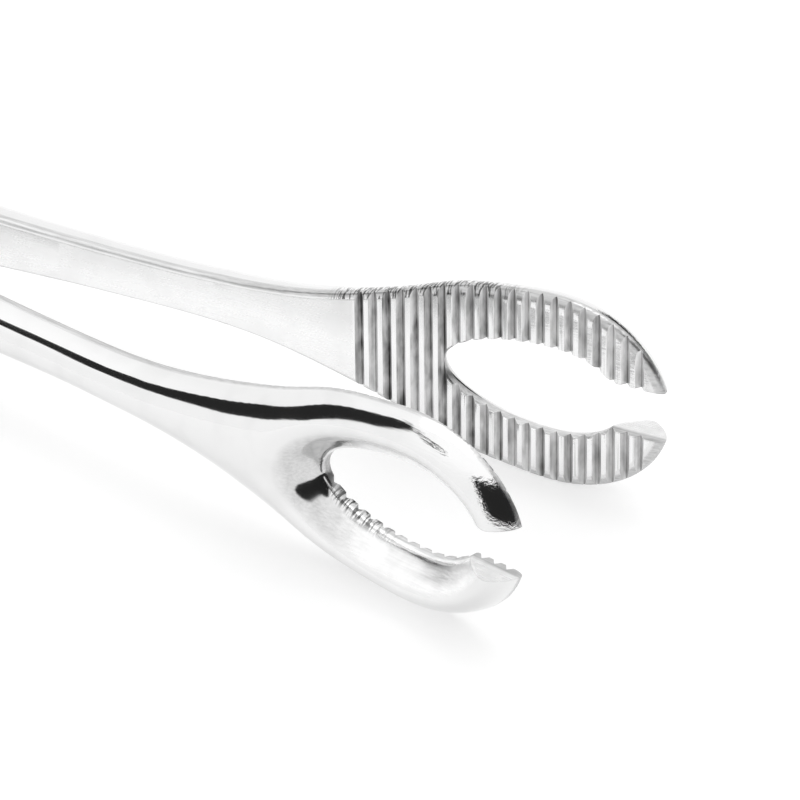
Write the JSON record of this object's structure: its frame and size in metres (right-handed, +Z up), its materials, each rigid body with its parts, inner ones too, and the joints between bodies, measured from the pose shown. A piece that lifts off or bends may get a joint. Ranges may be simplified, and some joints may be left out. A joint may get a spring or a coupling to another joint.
{
  "type": "slotted ring forceps",
  "caption": "Locking forceps with serrated, slotted ring jaws, a box lock on a riveted pin, a ratchet and finger rings.",
  "frame": {"origin": "on the surface the tool lies on, under the middle of its box", "axes": "+X towards the jaw tips, +Y to the left seen from above with the tips ahead, +Z up, nearly along the pivot pin"},
  "size_m": [0.1752, 0.0768, 0.0152],
  "materials": {
    "polished_steel": "mirror-polished stainless steel",
    "serrated_steel": "polished stainless steel with milled cross serrations on the mating face",
    "pin_steel": "ground flush rivet head"
  },
  "bodies": {
    "box_half": {"box_jaw": "serrated_steel", "box_shank": "polished_steel", "lock_box": "polished_steel", "box_handle": "polished_steel", "box_ratchet": "polished_steel", "box_finger_ring": "polished_steel", "pivot_pin": "pin_steel"},
    "tongue_half": {"tongue_jaw": "serrated_steel", "tongue_shank": "polished_steel", "lock_tongue": "polished_steel", "tongue_handle": "polished_steel", "tongue_ratchet": "polished_steel", "tongue_finger_ring": "polished_steel"}
  },
  "joints": [
    {"name": "pivot", "type": "hinge", "parent": "box_half", "child": "tongue_half", "pos_m": [0.01035, 0, 0.00531], "axis": [-0.0332, 0, 0.9994], "range_deg": [-50, 12]}
  ]
}
